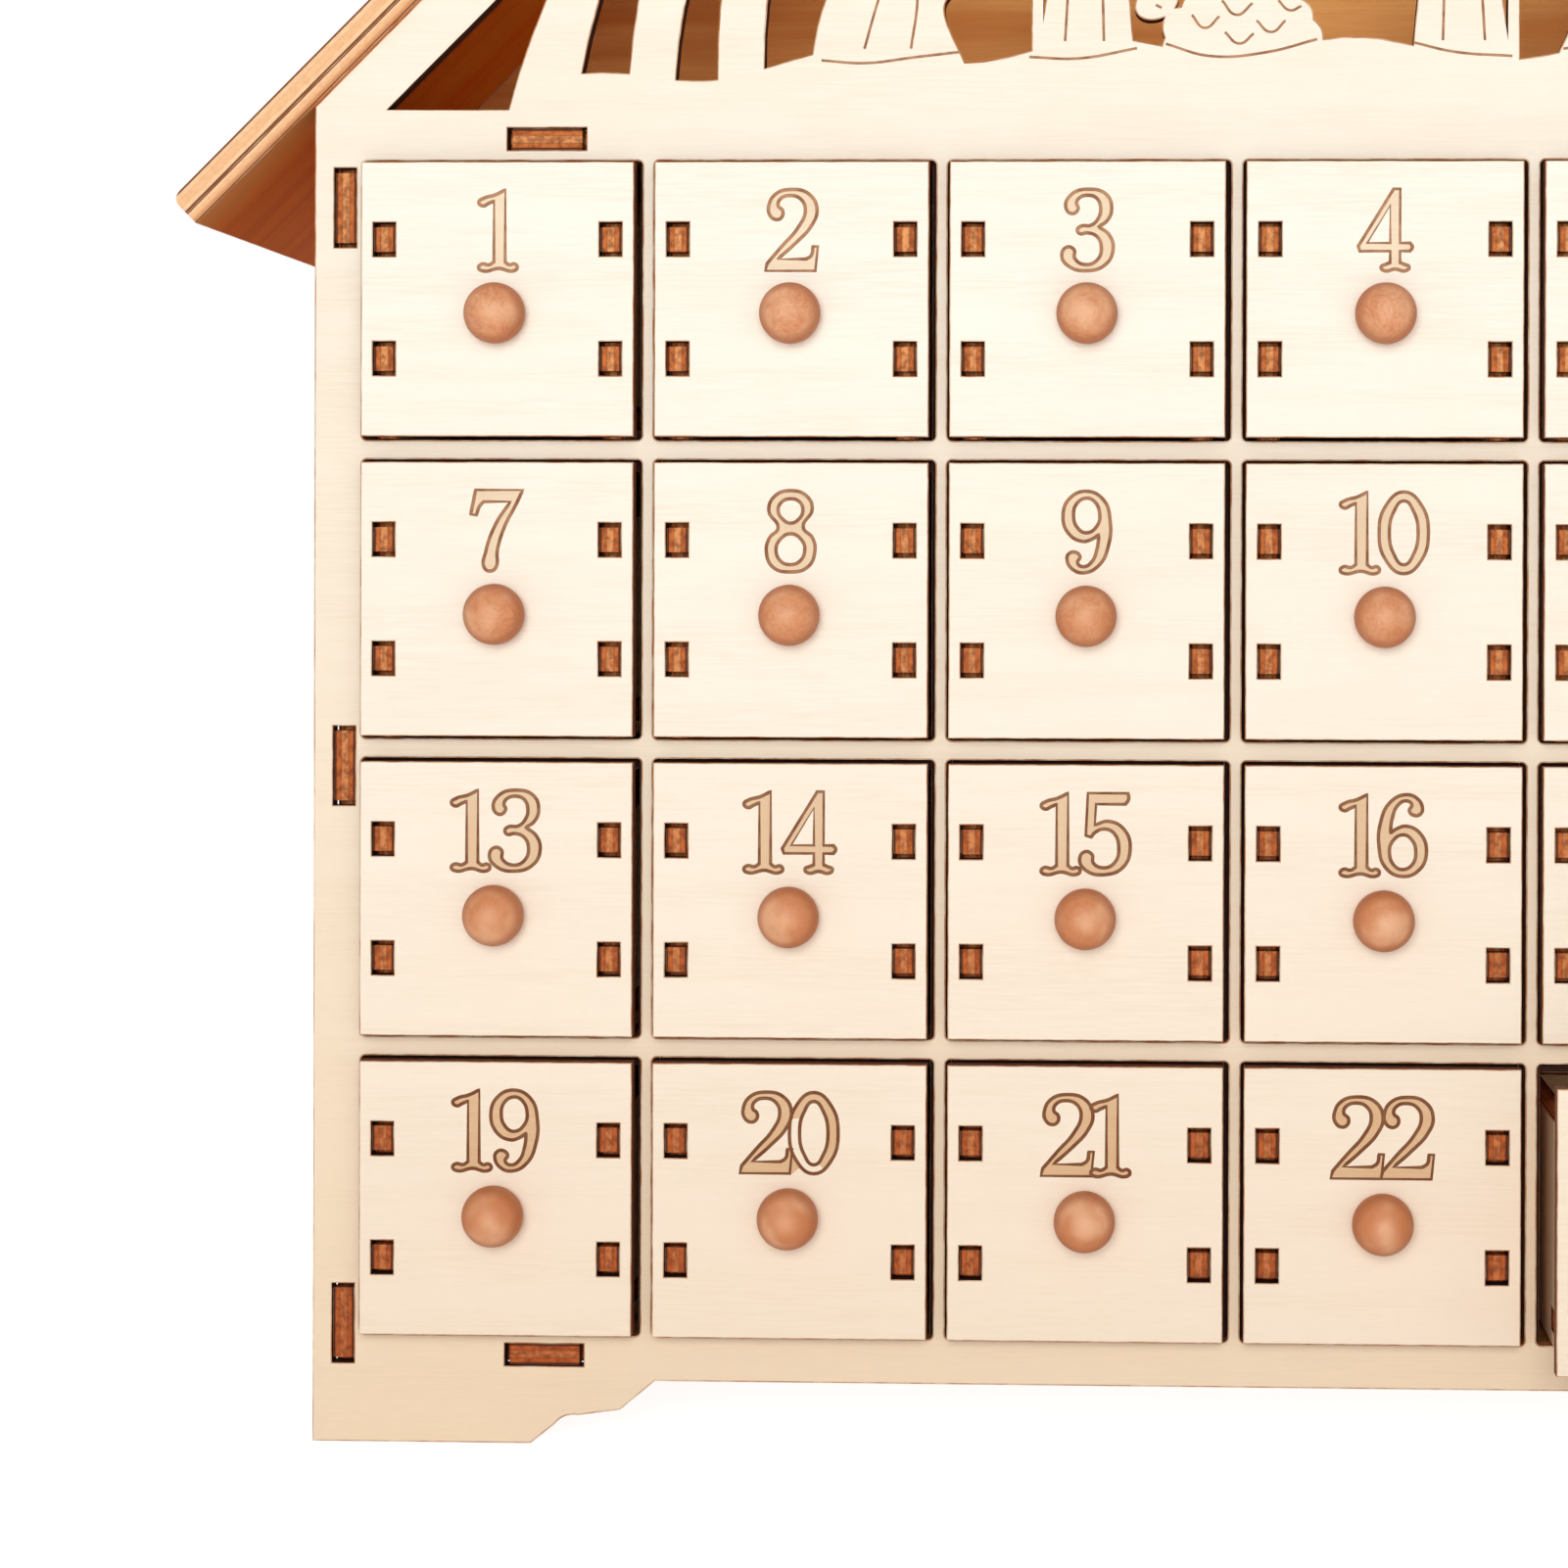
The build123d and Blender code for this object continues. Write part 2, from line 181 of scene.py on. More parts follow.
def layersGroup():                               # three plies across a cut edge, with char from the laser and painted shade towards the rear side
    tree, start, end = newGroup("plyLayers", [("Vector", "NodeSocketVector")],
                                [(label, "NodeSocketFloat") for label in ("Core", "Glue", "Char", "Skin", "Fade")])
    place = start.outputs["Vector"]
    rise = axesOf(tree, place)["Y"]
    wander = stretchedNoise(tree, place, plyLook["wanderStretch"], 2.0)
    across = sums(tree, "ADD", rise, sums(tree, "MULTIPLY", wander, plyLook["wander"]))
    fromMiddle = sums(tree, "ABSOLUTE", sums(tree, "SUBTRACT", across, plyLook["middle"]), 0.0)
    fromGlue = sums(tree, "ABSOLUTE", sums(tree, "SUBTRACT", fromMiddle, plyLook["glueAt"]), 0.0)
    burn = stretchedNoise(tree, place, plyLook["charStretch"], 4.0, 0.6)
    skin = sums(tree, "ABSOLUTE", sums(tree, "SUBTRACT", rise, plyLook["skinFrom"]), 0.0)
    tree.links.new(spread(tree, fromMiddle, *plyLook["core"], 1.0, 0.0), end.inputs["Core"])
    tree.links.new(spread(tree, fromGlue, *plyLook["glue"], 1.0, 0.0), end.inputs["Glue"])
    tree.links.new(spread(tree, burn, *plyLook["char"]), end.inputs["Char"])
    tree.links.new(spread(tree, skin, *plyLook["skin"]), end.inputs["Skin"])
    tree.links.new(spread(tree, rise, *plyLook["rearShade"], 1.0, 0.0), end.inputs["Fade"])
    return tree


footShadeLook = {"warmBelow": 0.0, "paleAbove": 0.22, "drift": 0.03, "driftStretch": (11, 11, 11)}


def toneGroup():                                 # painted shade: the sheets are paler towards the ridge and darker, warmer at the foot
    tree, start, end = newGroup("paintedFootShade", [("Vector", "NodeSocketVector")], [("FootShade", "NodeSocketFloat")])
    place = start.outputs["Vector"]
    drift = stretchedNoise(tree, place, footShadeLook["driftStretch"], 1.0)
    height = sums(tree, "ADD", axesOf(tree, place)["Z"], sums(tree, "MULTIPLY", drift, footShadeLook["drift"]))
    tree.links.new(spread(tree, height, footShadeLook["warmBelow"], footShadeLook["paleAbove"], 1.0, 0.0), end.inputs["FootShade"])
    return tree


veneer = veneerGroup()
plyLayers = layersGroup()
paintedFootShade = toneGroup()


# Materials

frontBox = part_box("front_facade")
woodColours = {
    # the pale and warm pairs, tabLow and knobLow are the two ends of the painted shade towards the foot
    "facePale": (253, 242, 224), "faceWarm": (246, 221, 190),      # front of the house
    "platePale": (255, 249, 235), "plateWarm": (249, 229, 206),    # drawer plates
    "fibreDark": (233, 208, 176), "fleck": (214, 180, 142),
    # cut and cutGlue: laser char, darkened to near black as painted shade for narrow gaps and slots
    "rim": (184, 118, 72), "cut": (58, 22, 8), "cutGlue": (26, 9, 3),
    "tab": (212, 118, 56), "tabCore": (238, 162, 100), "tabGlue": (112, 46, 15), "tabSkin": (70, 27, 9),
    "tabLow": (176, 74, 24), "plateEdge": (124, 62, 30),
    # inside and insideDark are painted shade for the inside of the house
    "inside": (250, 190, 112), "insideDark": (226, 150, 76), "reveal": (184, 120, 72), "revealDark": (120, 66, 32),
    "tray": (240, 214, 178),
    # atticRoof, atticRoofDark and the roofUnder colours are painted shade on the roof's underside
    "roofTop": (244, 222, 188), "atticRoof": (255, 188, 84), "atticRoofDark": (250, 158, 60),
    "roofUnder": (203, 97, 10), "roofUnderDark": (187, 83, 6), "roofUnderEdge": (222, 142, 74),
    "roofEdge": (255, 208, 160), "roofEdgeCore": (252, 196, 146), "roofLine": (104, 46, 16),
    "roofRearShade": (190, 112, 58),
    "linePale": (192, 146, 108), "lineWarm": (122, 72, 36),
    "numeralPale": (248, 228, 198), "numeralWarm": (214, 166, 118),
    "knob": (226, 156, 112), "knobDark": (204, 130, 86), "knobPale": (244, 194, 154), "knobSeatShade": (176, 98, 54),
    "knobLow": (206, 126, 80),
}


def colour(name):
    return paint(*woodColours[name])


def warmth(tree):                                # painted shade: 1 at the foot of the house, 0 in its gable
    return addGroup(tree, paintedFootShade, objectPlace(tree))["FootShade"]


faceLook = {"streak": 0.55, "patch": 0.22, "fleck": 0.30, "smoother": 0.08, "rougher": 0.1,
            "bump": 0.25, "bumpDepth": 0.08 * mm}


def faceMaterial(name, pale, warm, strength=0.55, roughness=0.62):
    material, tree, shader = newMaterial(name, roughness)
    grain = addGroup(tree, veneer, sheetMap(tree))
    # painted shade: from the pale colour in the gable to the warm one at the foot
    base = mixColour(tree, warmth(tree), colour(pale), colour(warm))
    streak = sums(tree, "MULTIPLY", grain["Fibre"], grain["Band"])
    layers = ((streak, "streak", "fibreDark"), (grain["Patch"], "patch", warm), (grain["Fleck"], "fleck", "fleck"))
    for mask, look, tint in layers:
        base = mixColour(tree, sums(tree, "MULTIPLY", mask, strength * faceLook[look]), base, colour(tint))
    tree.links.new(base, shader.inputs["Base Color"])
    matt = spread(tree, grain["Fibre"], 0.0, 1.0, roughness - faceLook["smoother"], roughness + faceLook["rougher"])
    tree.links.new(matt, shader.inputs["Roughness"])
    addBump(tree, shader, grain["Fibre"], faceLook["bump"], faceLook["bumpDepth"])
    return material


shadeLook = {"fibre": 0.35, "roughness": 0.7, "bump": 0.3, "bumpDepth": 0.1 * mm}


def woodGrain(tree, grain, pale, dark):
    base = mixColour(tree, grain["Band"], colour(pale), colour(dark))
    return mixColour(tree, sums(tree, "MULTIPLY", grain["Fibre"], shadeLook["fibre"]), base, colour(dark))


def shadeMaterial(name, pale, dark, gloss=0.25):         # painted shade: inner sides coloured brown for the shade inside the house
    material, tree, shader = newMaterial(name, shadeLook["roughness"], gloss)
    grain = addGroup(tree, veneer, sheetMap(tree))
    browned = woodGrain(tree, grain, pale, dark)
    tree.links.new(browned, shader.inputs["Base Color"])
    addBump(tree, shader, grain["Fibre"], shadeLook["bump"], shadeLook["bumpDepth"])
    return material, tree, shader, grain, browned


underLook = {"wallFade": 3 * mm, "frontFade": 1 * mm, "edgeBefore": 4 * mm, "edgeBehind": 14 * mm, "edge": 0.8,
             "gloss": 0.05}


def underMaterial(name, wallX, frontY):          # painted shade: roof underside orange in the attic, darker outside the walls and in front of them, lighter near the front edge
    material, tree, shader, grain, inside = shadeMaterial(name, "atticRoof", "atticRoofDark", underLook["gloss"])
    place = axesOf(tree, objectPlace(tree))
    beside = spread(tree, sums(tree, "ABSOLUTE", place["X"], 0.0), wallX - underLook["wallFade"], wallX)
    before = spread(tree, place["Y"], frontY, frontY + underLook["frontFade"], 1.0, 0.0)
    eave = woodGrain(tree, grain, "roofUnder", "roofUnderDark")
    edge = spread(tree, place["Y"], frontY - underLook["edgeBefore"], frontY + underLook["edgeBehind"],
                  underLook["edge"], 0.0)
    eave = mixColour(tree, edge, eave, colour("roofUnderEdge"))
    outside = sums(tree, "MAXIMUM", beside, before)
    tree.links.new(mixColour(tree, outside, inside, eave), shader.inputs["Base Color"])
    return material


innerFade = 1 * mm


def innerMaterial(name):                         # painted shade: inner side of the front and back, brown only inside the house and plain wood outside it
    material, tree, shader, grain, browned = shadeMaterial(name, "inside", "insideDark")
    place = axesOf(tree, objectPlace(tree))
    wallX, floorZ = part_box("right_wall")[1].x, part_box("base_floor")[0].z
    beside = spread(tree, sums(tree, "ABSOLUTE", place["X"], 0.0), wallX - innerFade, wallX)
    below = spread(tree, place["Z"], floorZ, floorZ + innerFade, 1.0, 0.0)
    unshaded = woodGrain(tree, grain, "faceWarm", "fibreDark")
    outside = sums(tree, "MAXIMUM", beside, below)
    tree.links.new(mixColour(tree, outside, browned, unshaded), shader.inputs["Base Color"])
    return material


edgeLook = {"roughness": 0.75, "low": 0.7, "bump": 0.35, "bumpDepth": 0.12 * mm}


def edgeMaterial(name, wood, core, dark, skinned, char, glue, skin, rearShade=0.0, low=None):
    material, tree, shader = newMaterial(name, edgeLook["roughness"])
    plies = addGroup(tree, plyLayers, sheetMap(tree))
    base = mixColour(tree, plies["Core"], colour(wood), colour(core))
    if low:                                      # painted shade: redder towards the foot of the house
        base = mixColour(tree, sums(tree, "MULTIPLY", warmth(tree), edgeLook["low"]), base, colour(low))
    layers = (("Char", char, dark), ("Glue", glue, dark), ("Fade", rearShade, "roofRearShade"), ("Skin", skin, skinned))
    for layer, strength, tint in layers:
        if strength:
            base = mixColour(tree, sums(tree, "MULTIPLY", plies[layer], strength), base, colour(tint))
    tree.links.new(base, shader.inputs["Base Color"])
    addBump(tree, shader, plies["Char"], edgeLook["bump"], edgeLook["bumpDepth"])
    return material


smokeLook = {"rimStretch": (260, 260, 260), "rim": (0.30, 0.75), "rimRoughness": 0.65,
             "lineStretch": (420, 420, 420), "line": (0.35, 0.7, 0.0, 0.6), "lineRoughness": 0.7}


def rimMaterial(name, rim, wood):                # thin line that the laser browned along a cut
    material, tree, shader = newMaterial(name, smokeLook["rimRoughness"])
    smoke = stretchedNoise(tree, objectPlace(tree), smokeLook["rimStretch"])
    base = mixColour(tree, spread(tree, smoke, *smokeLook["rim"]), colour(rim), colour(wood))
    tree.links.new(base, shader.inputs["Base Color"])
    return material


def lineMaterial():                              # engraved lines, with painted shade that makes them browner towards the foot of the house
    material, tree, shader = newMaterial("engraved line", smokeLook["lineRoughness"])
    smoke = stretchedNoise(tree, objectPlace(tree), smokeLook["lineStretch"])
    base = mixColour(tree, warmth(tree), colour("linePale"), colour("lineWarm"))
    base = mixColour(tree, spread(tree, smoke, *smokeLook["line"]), base, colour("tabGlue"))
    tree.links.new(base, shader.inputs["Base Color"])
    return material


knobLook = {"swirlStretch": (330, 330, 330), "swirlTwist": 5.0, "fleckStretch": (1500, 1500, 420),
            "patchStretch": (160, 160, 160), "swirl": (0.36, 0.66, 0.0, 0.8), "patch": (0.38, 0.68, 0.0, 0.55),
            "fleck": (0.55, 0.75, 0.0, 0.3), "paintedHighlight": (0.4, 1.0, 0.0, 0.35), "seat": (0.0, 0.34, 0.8, 0.0),
            "roughness": 0.5, "bump": 0.2, "bumpDepth": 0.08 * mm}


def knobMaterial():                              # turned beech, swirled grain, with a painted highlight in its middle and painted shade round its seat and towards the foot of the house
    material, tree, shader = newMaterial("knobBeech", knobLook["roughness"])
    place = objectPlace(tree)
    swirl = stretchedNoise(tree, place, knobLook["swirlStretch"], 3.0, 0.5, knobLook["swirlTwist"])
    flecks = stretchedNoise(tree, place, knobLook["fleckStretch"], 4.0, 0.6)
    patches = stretchedNoise(tree, place, knobLook["patchStretch"], 2.0)
    ball = tree.nodes.new("ShaderNodeTexGradient")       # 1 in the middle of the knob, 0 at its seat, for the painted highlight and shade
    ball.gradient_type = "SPHERICAL"
    tree.links.new(sheetMap(tree), ball.inputs["Vector"])
    # painted shade: browner towards the foot of the house
    base = mixColour(tree, warmth(tree), colour("knob"), colour("knobLow"))
    # painted highlight in the middle of the knob, painted shade round its seat
    layers = ((swirl, "swirl", "knobDark"), (patches, "patch", "knobPale"), (flecks, "fleck", "knobDark"),
              (ball.outputs["Fac"], "paintedHighlight", "knobPale"), (ball.outputs["Fac"], "seat", "knobSeatShade"))
    for value, look, tint in layers:
        base = mixColour(tree, spread(tree, value, *knobLook[look]), base, colour(tint))
    tree.links.new(base, shader.inputs["Base Color"])
    addBump(tree, shader, swirl, knobLook["bump"], knobLook["bumpDepth"])
    return material


faceWood = faceMaterial("frontVeneer", "facePale", "faceWarm")
plateWood = faceMaterial("plateVeneer", "platePale", "plateWarm")
trayWood = faceMaterial("trayVeneer", "tray", "tray", 0.8)
roofWood = faceMaterial("roofVeneer", "roofTop", "roofTop", 0.9)
# painted shade on both sides of the inner boards
insideWood = shadeMaterial("painted shade inside", "inside", "insideDark")[0]
innerWood = innerMaterial("painted shade inner side")
underWood = underMaterial("painted shade roof underside", frontBox[1].x, frontBox[0].y)
rimWood = rimMaterial("scorched rim", "rim", "fibreDark")
# laser char, darkened further as painted shade for the narrow gaps and slots
cutWood = edgeMaterial("burnt cut with painted gap shade", "cut", "cut", "cutGlue", "cutGlue", 0.6, 0.7, 0.0)
# the dark skin lines at a tab end's borders are burnt face veneer, darkened further as painted shade where the tab
# sits in its slot
tabWood = edgeMaterial("browned tab end with painted shade", "tab", "tabCore", "tabGlue", "tabSkin", 0.75, 0.35, 0.92, low="tabLow")
roofEdgeWood = edgeMaterial("roof edge", "roofEdge", "roofEdgeCore", "rim", "roofLine", 0.2, 0.15, 0.95)
# painted shade: the inner board's cut edge darkens towards the roof's underside
roofInnerEdgeWood = edgeMaterial("inner roof edge", "roofEdge", "roofEdgeCore", "rim", "roofLine", 0.2, 0.15, 0.9,
                                 rearShade=0.9)
revealWood = edgeMaterial("browned opening", "reveal", "reveal", "revealDark", "revealDark", 0.5, 0.5, 0.0)
plateEdgeWood = edgeMaterial("browned plate edge", "plateEdge", "plateEdge", "cut", "cut", 0.6, 0.5, 0.0)
lineWood = lineMaterial()
numeralWood = faceMaterial("engraved numeral", "numeralPale", "numeralWarm", 0.9)
knobWood = knobMaterial()
print("materials made")


# Sheets: merged copies of the plywood nodes, with a browned rim, a grain map and cut edges

sheetFinish = {"rim": 0.20 * mm, "chamfer": 0.07 * mm, "mergeDistance": 1e-6, "flat": 0.9, "edgeShift": 0.37,
               "faceShift": (0.731, 0.417)}
sheetSlots = {"front": 0, "rear": 1, "rim": 2, "cut": 3}           # material places of a sheet


def mergedCopy(node):
    bm = bmesh.new()
    bm.from_mesh(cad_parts[node].data)
    bmesh.ops.remove_doubles(bm, verts=bm.verts, dist=sheetFinish["mergeDistance"])
    for face in bm.faces:
        face.smooth = False
    return bm


def islandsOf(bm):                               # faces of each separate sheet
    seen = set()
    islands = []
    bm.faces.index_update()
    for first in bm.faces:
        if first.index in seen:
            continue
        seen.add(first.index)
        island, waiting = [], [first]
        while waiting:
            face = waiting.pop()
            island.append(face)
            for other in {f for edge in face.edges for f in edge.link_faces}:
                if other.index not in seen:
                    seen.add(other.index)
                    waiting.append(other)
        islands.append(island)
    return islands


def sheetNormal(island):                         # direction that most of the sheet's area faces
    areas, sample = {}, {}
    for face in island:
        facing = max(face.normal, -face.normal, key=lambda n: (round(n.x, 1), round(n.y, 1), round(n.z, 1)))
        key = tuple(round(v, 1) for v in facing)
        areas[key] = areas.get(key, 0.0) + face.calc_area()
        sample[key] = facing
    return sample[max(areas, key=areas.get)].copy()


def grainAxes(normal):                           # lengthwise and crosswise directions of a sheet's grain
    if abs(normal.x) > 0.9:
        along = Vector((0, 1, 0))
    elif abs(normal.x) > 0.5:
        along = normal.cross(Vector((0, 1, 0)))
    else:
        along = Vector((1, 0, 0))
    return along, normal.cross(along)


def dressSheet(bm, island, seed, slots):         # slots: material places of front, rear, rim and cut
    uv = bm.loops.layers.uv.get("sheet") or bm.loops.layers.uv.new("sheet")
    normal = sheetNormal(island)
    if normal.y > 0.5 or normal.z < -0.5:
        normal.negate()                          # the front is the side towards the room or the top
    along, crossways = grainAxes(normal)
    shiftAlong, shiftAcross = sheetFinish["faceShift"]
    depths = [v.co.dot(normal) for face in island for v in face.verts]
    low, high = min(depths), max(depths)
    cuts = [f for f in island if abs(f.normal.dot(normal)) < sheetFinish["flat"]]
    for face in cuts:
        face.material_index = slots["cut"]
        tangent = normal.cross(face.normal)
        for loop in face.loops:
            across = (loop.vert.co.dot(normal) - low) / (high - low)
            loop[uv].uv = (loop.vert.co.dot(tangent) + seed * sheetFinish["edgeShift"], across)
    for sign, slot in ((1, "front"), (-1, "rear")):
        faces = [f for f in island if f.normal.dot(normal) * sign > sheetFinish["flat"]]
        rim = bmesh.ops.inset_region(bm, faces=faces, thickness=sheetFinish["rim"], use_boundary=True,
                                     use_even_offset=False)["faces"]
        outer = {v for f in rim for v in f.verts} - {v for f in faces for v in f.verts}
        for vert in outer:
            vert.co -= normal * (sign * sheetFinish["chamfer"])
        for face in rim + faces:
            face.material_index = slots["rim"] if face in rim else slots[slot]
            for loop in face.loops:
                place = loop.vert.co
                loop[uv].uv = (place.dot(along) + seed * shiftAlong, place.dot(crossways) + seed * shiftAcross)


def asMesh(bm, name, materials):
    mesh = bpy.data.meshes.new(name)
    bm.to_mesh(mesh)
    bm.free()
    for material in materials:
        mesh.materials.append(material)
    return mesh


def newPiece(name, bm, materials, body, slot, *nodes):
    piece = bpy.data.objects.new(name, asMesh(bm, name, materials))
    bpy.context.scene.collection.objects.link(piece)
    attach(piece, body)
    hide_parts(*nodes)


def plainSheets(node, piece, slot, materials, seed):
    bm = mergedCopy(node)
    for number, island in enumerate(islandsOf(bm)):
        dressSheet(bm, island, seed + number, sheetSlots)
    newPiece(piece, bm, materials, "house", slot, node)


innerBoards = {"base_floor": "baseFloor", "attic_floor": "atticFloor", "shelves": "shelfBoards",
               "dividers": "dividerBoards"}
for seed, (node, piece) in enumerate(innerBoards.items()):
    ends = tabWood if "floor" in node else cutWood
    plainSheets(node, piece, "plywood", [insideWood, insideWood, rimWood, ends], seed * 10 + 3)
plainSheets("left_wall", "leftWall", "plywood", [faceWood, faceWood, rimWood, tabWood], 47)
plainSheets("right_wall", "rightWall", "plywood", [faceWood, faceWood, rimWood, tabWood], 53)
plainSheets("back_panel", "backPanel", "plywood", [innerWood, faceWood, rimWood, cutWood], 71)
print("carcase dressed")


# Engraving: round tubes along the lines, taken out of a sheet

engraving = {"sceneWidth": 0.42 * mm, "numeralWidth": 0.54 * mm, "lift": 0.04 * mm, "curveSteps": 6,
             "tries": 6, "nudge": 0.006 * mm, "mostLost": 0.01}


def lineCurve(name, strokes, closed, width):     # strokes: lists of (x, z, kind), s for smooth and c for corner
    curve = bpy.data.curves.new(name, "CURVE")
    curve.dimensions = "3D" if width else "2D"
    curve.fill_mode = "FULL" if width else "BOTH"
    curve.resolution_u = engraving["curveSteps"]
    curve.bevel_depth = width / 2
    curve.bevel_resolution = 1
    curve.use_fill_caps = True
    for stroke in strokes:
        spline = curve.splines.new("BEZIER")
        spline.bezier_points.add(len(stroke) - 1)
        for point, (x, z, kind) in zip(spline.bezier_points, stroke):
            point.co = (x, z, 0)
            point.handle_left_type = point.handle_right_type = "AUTO" if kind == "s" else "VECTOR"
        spline.use_cyclic_u = closed
    return curve


def curveMesh(curve, y):                         # the curve's flat x, y become the front's x, z at depth y
    holder = bpy.data.objects.new(curve.name, curve)
    bpy.context.scene.collection.objects.link(holder)
    bpy.context.view_layer.update()
    mesh = bpy.data.meshes.new_from_object(holder.evaluated_get(bpy.context.evaluated_depsgraph_get()))
    bpy.data.objects.remove(holder)
    for vert in mesh.vertices:
        vert.co = (vert.co.x, y - vert.co.z, vert.co.y)
    return mesh


def carve(mesh, cutterMesh, material):           # the grooves take the cutter's material
    cutterMesh.materials.clear()
    cutterMesh.materials.append(material)
    board = bpy.data.objects.new("board", mesh)
    cutter = bpy.data.objects.new("cutter", cutterMesh)
    for item in (board, cutter):
        bpy.context.scene.collection.objects.link(item)
    cut = board.modifiers.new("groove", "BOOLEAN")
    cut.operation = "DIFFERENCE"
    cut.solver = "EXACT"
    cut.use_self = True
    cut.material_mode = "TRANSFER"
    cut.object = cutter
    bpy.context.view_layer.update()
    carved = bpy.data.meshes.new_from_object(board.evaluated_get(bpy.context.evaluated_depsgraph_get()))
    bpy.data.objects.remove(board)
    bpy.data.objects.remove(cutter)
    return carved


def volumeOf(mesh):                              # nothing where the mesh isn't closed
    bm = bmesh.new()
    bm.from_mesh(mesh)
    volume = bm.calc_volume() if all(len(edge.link_faces) == 2 for edge in bm.edges) else 0.0
    bm.free()
    return volume


def carvePlate(mesh, cutterMesh, material):      # a cut that tears the plate is made again, a hair higher
    whole = volumeOf(mesh)
    for attempt in range(engraving["tries"]):
        carved = carve(mesh, cutterMesh, material)
        if whole * (1 - engraving["mostLost"]) < volumeOf(carved) < whole:
            break
        for vert in cutterMesh.vertices:
            vert.co.y -= engraving["nudge"]
    return carved


# Front of the house, with the folds, wool and ground line of its gable scene engraved

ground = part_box("attic_floor")[1].z
sceneLines = {
    "hillLine": [[(-58, 9.4), (-52, 9.0), (-45, 9.8), (-38, 10.6)],
                 [(-29, 9.8), (-22, 9.6), (-14, 11.0)],
                 [(-10, 11.6), (-4, 9.9), (4, 10.4), (11, 12.2)],
                 [(24, 11.8), (30, 10.4), (38, 9.8)],
                 [(45, 10.8), (52, 11.4), (61, 8.4)]],
    "leftKneelingFolds": [[(-52, 11), (-50, 18), (-47.5, 25)], [(-45.5, 11), (-44.6, 18), (-45, 24)],
                          [(-49.3, 32.2), (-47, 30.2), (-44.6, 31.8)]],
    "leftStandingFolds": [[(-24, 12), (-23.2, 26), (-22.4, 38)], [(-18.6, 12), (-19, 24), (-20, 36)],
                          [(-25.4, 41), (-21.6, 38.4), (-18.6, 42)]],
    "rightStandingFolds": [[(34.2, 12), (33.2, 28), (32.4, 41)], [(28.4, 12), (28.8, 26), (30, 39)],
                           [(35.6, 44), (31.8, 41), (28.6, 45)]],
    "rightKneelingFolds": [[(57, 11), (55.4, 17), (53, 23)], [(51, 11), (50, 17), (50.6, 22)],
                           [(54.6, 30), (52.4, 28), (50, 29.6)]],
    "lambWool": [[(-6.4, 15.6), (-4.6, 13.8), (-2.6, 15.4)], [(-2.2, 17.6), (-0.2, 15.6), (2.0, 17.2)],
                 [(2.6, 14.8), (4.6, 13.2), (6.6, 14.8)], [(-1.8, 13.2), (0.2, 11.6), (2.2, 13.0)],
                 [(5.6, 17.6), (7.2, 16.2), (8.8, 16.8)], [(-11.4, 17.0), (-10.6, 16.6)]],
}


openingSlot = 4                                  # after the four of a sheet


def makeFront():
    bm = mergedCopy("front_facade")
    for island in islandsOf(bm):
        dressSheet(bm, island, 5, sheetSlots)
    left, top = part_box("drawer_01")[0].x - 2 * mm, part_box("drawer_01")[1].z + 2 * mm
    for face in bm.faces:                        # walls of the drawer openings are only lightly browned, unlike the other cuts darkened with painted shade
        centre = face.calc_center_median()
        inLattice = abs(centre.x) < -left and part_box("base_floor")[1].z < centre.z < top
        if face.material_index == sheetSlots["cut"] and inLattice:
            face.material_index = openingSlot
    mesh = asMesh(bm, "frontSheet", [faceWood, innerWood, rimWood, cutWood, revealWood])
    strokes = [[(x * mm, ground + z * mm, "s") for x, z in line] for lines in sceneLines.values() for line in lines]
    grooves = lineCurve("sceneLines", strokes, False, engraving["sceneWidth"])
    carved = carve(mesh, curveMesh(grooves, frontBox[0].y - engraving["lift"]), lineWood)
    bm = bmesh.new()
    bm.from_mesh(carved)
    newPiece("frontSheet", bm, list(carved.materials), "house", "plywood", "front_facade")


makeFront()
print("front engraved")


# Numerals: outlines of one unit in height, drawn clockwise round each stroke

